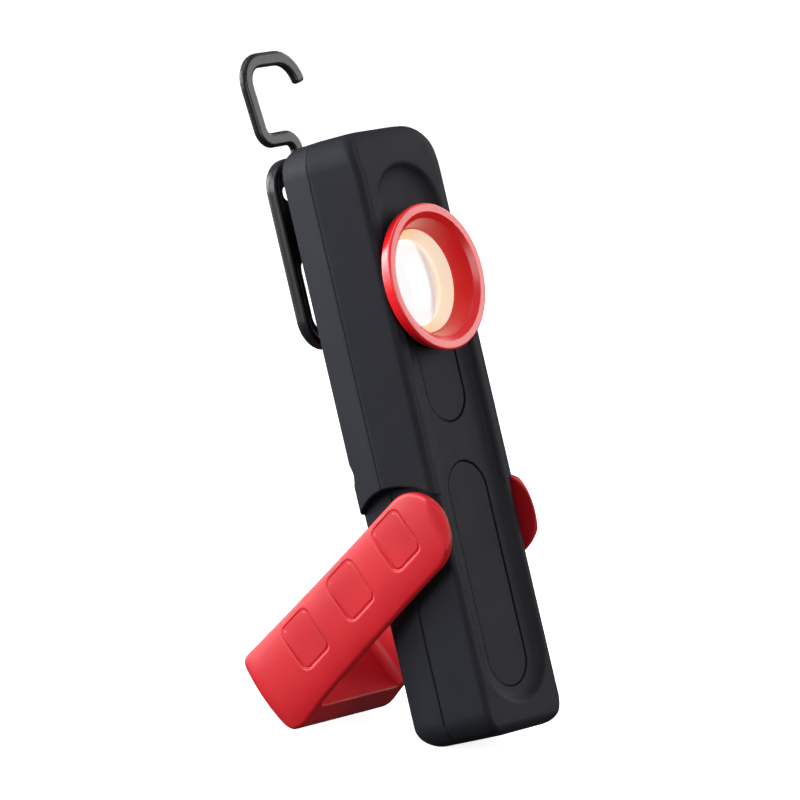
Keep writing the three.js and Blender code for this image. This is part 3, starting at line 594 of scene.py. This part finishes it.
def make_body():
    step = 0.6
    low, high = (-WAIST, -1, 0), (WAIST, PARTING, LENGTH)
    front = carve("front_shell", front_shell, low, high, step, SLOTS["shell"])
    stands_for(front, "light", "shell", "front_housing")
    low, high = (-WAIST, PARTING, 0), (WAIST, DEPTH, LENGTH)
    rear = carve("rear_shell", rear_shell, low, high, step, SLOTS["shell"])
    stands_for(rear, "light", "shell", "rear_housing")
    inlay = pad(pad_outline, RECESS_DEPTH + PAD_SINK, PAD_BACK)
    inlay = carve("grip_pad", inlay, PAD_LOW, PAD_HIGH, 0.4, SLOTS["soft_black"])
    stands_for(inlay, "light", "soft_black", "grip_inlay")
    tongue = carve("button_cap", button, BUTTON_LOW, BUTTON_HIGH, 0.4, SLOTS["soft_black"])
    stands_for(tongue, "button", "soft_black", "power_button")

    def flap(x, v, w):
        outline = rounded_rect(x, w - FLAP_W, FLAP_HIGH[0], FLAP_HALF_HEIGHT, FLAP_CORNER)
        return rounded_max(outline, np.maximum(FLAP_LOW[1] - v, v - FLAP_HIGH[1]), 0.45)

    cover = carve("flap_cover", flap, FLAP_LOW, FLAP_HIGH, 0.35, SLOTS["rubber"])
    stands_for(cover, "flap", "rubber", "port_flap")


# ---- Lens ----
def make_lens():
    centre = (0, LENS_W)
    ring = turned("bezel", [
        (SLEEVE_RADIUS, RING_BASE, 0), (RING_NECK, RING_BASE, 0.6),
        (RING_RADIUS - 0.1, RING_FRONT + 1.5, 0.15), (RING_RADIUS + 0.25, RING_FRONT + 1.3, 0.15),
        (RING_RADIUS + RING_SWELL, RING_FRONT, 0.8), (LIP_INNER, RING_FRONT, 0.5),
        (THROAT_RADIUS, RING_FRONT + 1.5, 0.4), (SEAT_RADIUS + GAP, 2.5, 0.2), (SEAT_RADIUS + GAP, 4.6, 0),
        (SLEEVE_RADIUS, 4.6, 0),
    ], centre, SLOTS["red_bezel"])
    stands_for(ring, "light", "red_bezel", "lens_ring")
    reflector = turned("reflector", [
        (SEAT_RADIUS - 0.3, 2.8, 0.1), (LENS_RADIUS + 0.5, 8.2, 0.2), (LENS_RADIUS + 0.5, 9.4, 0),
        (SEAT_RADIUS - 0.6, 9.4, 0), (SEAT_RADIUS - 0.6, 5.2, 0), (SEAT_RADIUS, 4.4, 0),
        (SEAT_RADIUS, 2.8, 0),
    ], centre, SLOTS["reflector"])
    stands_for(reflector, "light", "reflector", "reflector_ring")
    lens_low = extent("lens")[0][1]
    dome = []
    for share in np.linspace(0, 1, 20):
        drop = DOME_RISE * (1 - math.sqrt(1 - (DOME_SHARE * share) ** 2))
        dome.append((LENS_RADIUS * share, lens_low + drop, 0))
    profile = [*dome, (LENS_RADIUS, LENS_BACK, 0.2), (0, LENS_BACK, 0)]
    lens = turned("lens_dome", profile, centre, SLOTS["lens_glass"])
    stands_for(lens, "light", "lens_glass", "lens")


# ---- Foot ----
def grip(x, p, q, place):
    """One shallow finger scoop, with a finer line cut round its floor."""
    edges = np.maximum(GRIP_LOW - p, p - GRIP_HIGH)
    outline = rounded_max(edges, np.abs(q - place) - GRIP_HALF, GRIP_CORNER)
    scoop = rounded_max(outline, ARM_RIDGE - GRIP_DEPTH - np.abs(x), 0.4)
    line = np.maximum(np.abs(outline + 0.4) - 0.3, ARM_RIDGE - GRIP_LINE_DEPTH - np.abs(x))
    return rounded_min(scoop, line, 0.4)


def foot(x, p, q):
    off_middle = np.abs(x)
    round_top = np.hypot(p, q)
    outline = np.where(q > 0, round_top, 0) - ARM_HALF
    half = ARM_HALF + FLARE * np.clip(-q / FOOT_LENGTH, 0, 1) ** 2
    swell = SKIRT * np.clip((-q - SKIRT_START) / (FOOT_LENGTH - SKIRT_START), 0, 1) ** 2
    end = -q - FOOT_LENGTH - END_REACH + END_BOW * (p / ARM_HALF) ** 2
    upper = rounded_max(p - half, end, UPPER_CORNER)
    lower = rounded_max(-p - half - swell, end, LOWER_CORNER)
    outline = np.where(q > 0, outline, np.where(p > 0, upper, lower))
    crown = off_middle - ARM_RIDGE + CROWN * (p / ARM_HALF) ** 2
    toward_tip = BEVEL_WAY[0] * p + BEVEL_WAY[1] * q
    bevel = off_middle - ARM_RIDGE + BEVEL_SLOPE * (toward_tip - BEVEL_START)
    bevel = bevel / math.hypot(1, BEVEL_SLOPE)
    faces = rounded_max(crown, bevel, 0.25)
    faces = rounded_max(faces, outline, 1.3)
    faces = rounded_max(faces, rounded_max(off_middle - ARM_RIDGE, end, END_ROUND), 1.5)
    for place in GRIPS:
        faces = rounded_max(faces, -grip(x, p, q, place), 0.8)
    window = rounded_max(off_middle - ARM_INNER, -q - CROSSBAR, 3.5)
    body = rounded_max(faces, -window, 0.7)
    pin_socket = np.maximum(round_top - PIN_BORE, off_middle - ARM_INNER - PIN_SOCKET_DEPTH)
    body = np.maximum(body, -pin_socket)
    magnet = np.hypot(off_middle - MAGNET_X, p) - MAGNET_POCKET_RADIUS
    magnet = np.maximum(magnet, q + FOOT_LENGTH - MAGNET_POCKET_DEPTH)
    return rounded_max(body, -magnet, 0.2)


def make_foot():
    step = 0.5
    low = (-ARM_RIDGE, -ARM_HALF - FLARE - SKIRT, -FOOT_LENGTH - END_REACH)
    high = (ARM_RIDGE, ARM_HALF + FLARE, ARM_HALF)
    piece = carve("foot", foot, low, high, step, SLOTS["red_foot"], FOOT_ORIGIN, FOOT_AXES)
    stands_for(piece, "foot", "red_foot", "foot_frame")


# ---- Hook and its carrier ----
def carrier(x, v, w):
    outline = rounded_rect(x, w - PLATE_W, PLATE_HALF, PLATE_HALF_HEIGHT, PLATE_CORNER)
    window = rounded_rect(x, w - WINDOW_W, WINDOW_HALF, WINDOW_HALF_HEIGHT, WINDOW_CORNER)
    channel = rounded_rect(x, w - CHANNEL_W, CHANNEL_HALF, CHANNEL_HALF_HEIGHT, CHANNEL_CORNER)
    off_plate = np.abs(v - PLATE_V)
    rim = rounded_max(np.abs(outline + RIM_HALF_WIDTH) - RIM_HALF_WIDTH, off_plate - RIM_HALF_THICK, 0.8)
    outline = np.maximum(outline, -np.minimum(window, channel))
    plate = rounded_max(outline, off_plate - PLATE_HALF_THICK, 0.8)
    plate = rounded_min(plate, rim, 0.5)
    from_knuckle = np.hypot(v - KNUCKLE[1], w - KNUCKLE[2])
    ears = rounded_max(from_knuckle - KNUCKLE_RADIUS, np.abs(np.abs(x) - EAR_X) - EAR_HALF, 0.4)
    plate = rounded_min(plate, ears, 0.5)
    throat = np.maximum(np.abs(x) - THROAT_HALF, KNUCKLE[2] - THROAT_DROP - w)
    plate = rounded_max(plate, -throat, 0.3)
    plate = np.maximum(plate, -np.maximum(from_knuckle - HOOK_PIN_BORE, np.abs(x) - HOOK_PIN_HALF))
    return np.maximum(plate, POST_HOLE - np.hypot(x, w - SWIVEL[2]))


HOOK_BENDS = [  # (x, w, bend radius) along the middle of the bar
    (0.3, KNUCKLE[2], 0), (1.3, 213.2, 4.5), (-15.5, 212.9, 4.5), (-18.4, 240.6, 8.0), (8.2, 240.6, 10.8),
    (10.2, 231.1, 0),
]


def hook_field():
    path = filleted(HOOK_BENDS)
    starts, runs = path[:-1], np.diff(path, axis=0)
    end_way = runs[-1] / np.hypot(*runs[-1])
    tip = path[-1]

    def field(x, v, w):
        nearest = np.full(np.shape(x), 1e9)
        for (a, b), (da, db) in zip(starts, runs):
            share = np.clip(((x - a) * da + (w - b) * db) / (da * da + db * db), 0, 1)
            nearest = np.minimum(nearest, np.hypot(x - a - share * da, w - b - share * db))
        bar = rounded_max(nearest - HOOK_HALF_WIDTH, np.abs(v - PLATE_V) - HOOK_HALF_THICK, 1.4)
        cut = (x - tip[0]) * end_way[0] + (w - tip[1]) * end_way[1]
        cut = np.where(x > tip[0] - 5, cut, -9)  # square end at the tip, nowhere else
        bar = rounded_max(bar, cut, 1.3)
        from_knuckle = np.hypot(v - KNUCKLE[1], w - KNUCKLE[2])
        knuckle = rounded_max(from_knuckle - KNUCKLE_RADIUS, np.abs(x) - KNUCKLE_HALF, 0.4)
        bar = rounded_min(bar, knuckle, 0.8)
        return np.maximum(bar, HOOK_PIN_BORE - from_knuckle)

    return field


def make_hook():
    low, high = extent("hook")
    hook = carve("hook_bar", hook_field(), low, high, 0.4, SLOTS["black_metal"])
    stands_for(hook, "hook", "black_metal", "hook")
    low, high = extent("hook_plate")
    plate = carve("carrier_plate", carrier, low, high, 0.45, SLOTS["black_metal"])
    stands_for(plate, "carrier", "black_metal", "hook_plate")
    centre = (0, SWIVEL[2])
    plate_front = PLATE_V - PLATE_HALF_THICK
    boss = turned("swivel_post", [
        (0, POST_START, 0), (POST_RADIUS, POST_START, 0.3), (POST_RADIUS, DEPTH + GAP, 0.2),
        (FLANGE_RADIUS, DEPTH + GAP, 0.3), (FLANGE_RADIUS, DEPTH + 2.2, 0.5),
        (7.5, plate_front - 0.9, 0.4), (3.2, plate_front - 0.9, 0.2), (3.2, PLATE_V + 1.4, 0.2),
        (0, PLATE_V + 1.4, 0),
    ], centre, SLOTS["black_metal"])
    stands_for(boss, "light", "black_metal", "swivel_boss")
    cap = turned("swivel_cap_round", [
        (0, PLATE_V + 1.7, 0), (6.5, PLATE_V + 1.7, 0.15), (6.5, PLATE_V + 2.3, 0.3),
        (5.3, PLATE_V + 3.2, 0.6), (2.2, PLATE_V + 3.2, 0.15), (1.8, PLATE_V + 2.4, 0.1),
        (0, PLATE_V + 2.4, 0),
    ], centre, SLOTS["steel"])
    stands_for(cap, "light", "steel", "swivel_cap")


# ---- CAD pieces that keep their shape ----
def finish_cad_nodes():
    slots = {part["node"]: part["material_slot"] for part in frame["record"]["subparts"]}
    for name, node in frame["nodes"].items():
        node.data.materials.clear()
        node.data.materials.append(SLOTS[slots[name]])


# ---- Stage, lights and camera ----
def area_light(name, place, aim, size, watts, colour=(1, 1, 1)):
    data = bpy.data.lights.new(name, "AREA")
    data.shape = "RECTANGLE"
    data.size, data.size_y = size
    data.energy = watts
    data.color = colour
    light = bpy.data.objects.new(name, data)
    light.location = place
    light.rotation_euler = (Vector(aim) - Vector(place)).to_track_quat("-Z", "Y").to_euler()
    bpy.context.scene.collection.objects.link(light)


def make_stage():
    floor_radius, wall_height, count = 6.0, 6.0, 64
    turns = [2 * math.pi * i / count for i in range(count)]
    rim = [(floor_radius * math.cos(turn), floor_radius * math.sin(turn)) for turn in turns]
    low = np.array([(x, y, 0) for x, y in rim], float)
    high = np.array([(x, y, wall_height) for x, y in rim], float)
    pale = surface("pale_floor", (0.90, 0.90, 0.90), (0.92, 0.92, 0.92), 0.8, bump=0.0,
                   Specular_IOR_Level=0.1)
    pale = glowing(pale, (1, 1, 1), 0.85)
    floor = mesh_object("floor", low, [list(range(count))], pale)
    walls = [[(i + 1) % count, i, i + count, (i + 1) % count + count] for i in range(count)]
    backdrop = mesh_object("backdrop", np.concatenate([low, high]), walls, pale)
    backdrop.visible_shadow = False
    for piece in (floor, backdrop):
        piece.visible_diffuse = False
        piece.visible_glossy = False

    world = bpy.data.worlds.new("studio")
    bpy.context.scene.world = world
    world.use_nodes = True
    nodes, links = world.node_tree.nodes, world.node_tree.links
    parts = nodes.new("ShaderNodeSeparateXYZ")
    links.new(nodes.new("ShaderNodeTexCoord").outputs["Generated"], parts.inputs["Vector"])
    ramp = nodes.new("ShaderNodeMapRange")
    brightness = {"From Min": -0.1, "From Max": 0.8, "To Min": 0.06, "To Max": 0.35}
    for socket, value in brightness.items():
        ramp.inputs[socket].default_value = value
    links.new(parts.outputs["Z"], ramp.inputs["Value"])
    links.new(ramp.outputs["Result"], nodes["Background"].inputs["Strength"])
    nodes["Background"].inputs["Color"].default_value = (1, 1, 1, 1)

    aim = (0, 0, 0.11)
    area_light("key_left", (-0.95, 0.55, 0.55), aim, (0.8, 0.8), 15)
    area_light("rim_back_left", (-0.35, 1.15, 0.35), aim, (0.5, 0.9), 15, (0.90, 0.95, 1.0))
    area_light("front", (-0.30, -1.2, 0.42), aim, (0.7, 0.7), 6)
    area_light("front_right", (0.95, -0.75, 0.36), aim, (0.5, 0.7), 4.5)
    area_light("top", (-0.3, 0.3, 1.3), aim, (0.9, 0.9), 6)
    area_light("right", (1.2, -0.1, 0.6), aim, (0.6, 0.6), 4)


CAMERA_AZIMUTH, CAMERA_ELEVATION = math.radians(-52.334), math.radians(9.383)
CAMERA_DISTANCE = 2.4304
CAMERA_LENS = 322.66
CAMERA_FROM = Vector(FOOT_ORIGIN) + Vector((0, 0.034038, 0.025508))  # angles and distance start here
CAMERA_AIM = Vector(FOOT_ORIGIN) + Vector((0.00414, 0.028678, 0.039388))


def make_camera():
    cos_e = math.cos(CAMERA_ELEVATION)
    toward = Vector((math.sin(CAMERA_AZIMUTH) * cos_e, -math.cos(CAMERA_AZIMUTH) * cos_e,
                     math.sin(CAMERA_ELEVATION)))
    data = bpy.data.cameras.new("camera")
    data.lens = CAMERA_LENS
    data.clip_end = 50
    camera = bpy.data.objects.new("camera", data)
    camera.location = CAMERA_FROM + CAMERA_DISTANCE * toward
    camera.rotation_euler = (CAMERA_AIM - camera.location).to_track_quat("-Z", "Y").to_euler()
    bpy.context.scene.collection.objects.link(camera)
    bpy.context.scene.camera = camera


bpy.context.scene.view_settings.view_transform = "Standard"
make_camera()
finish_cad_nodes()
make_body()
make_lens()
make_foot()
make_hook()
make_stage()

bpy.context.view_layer.update()
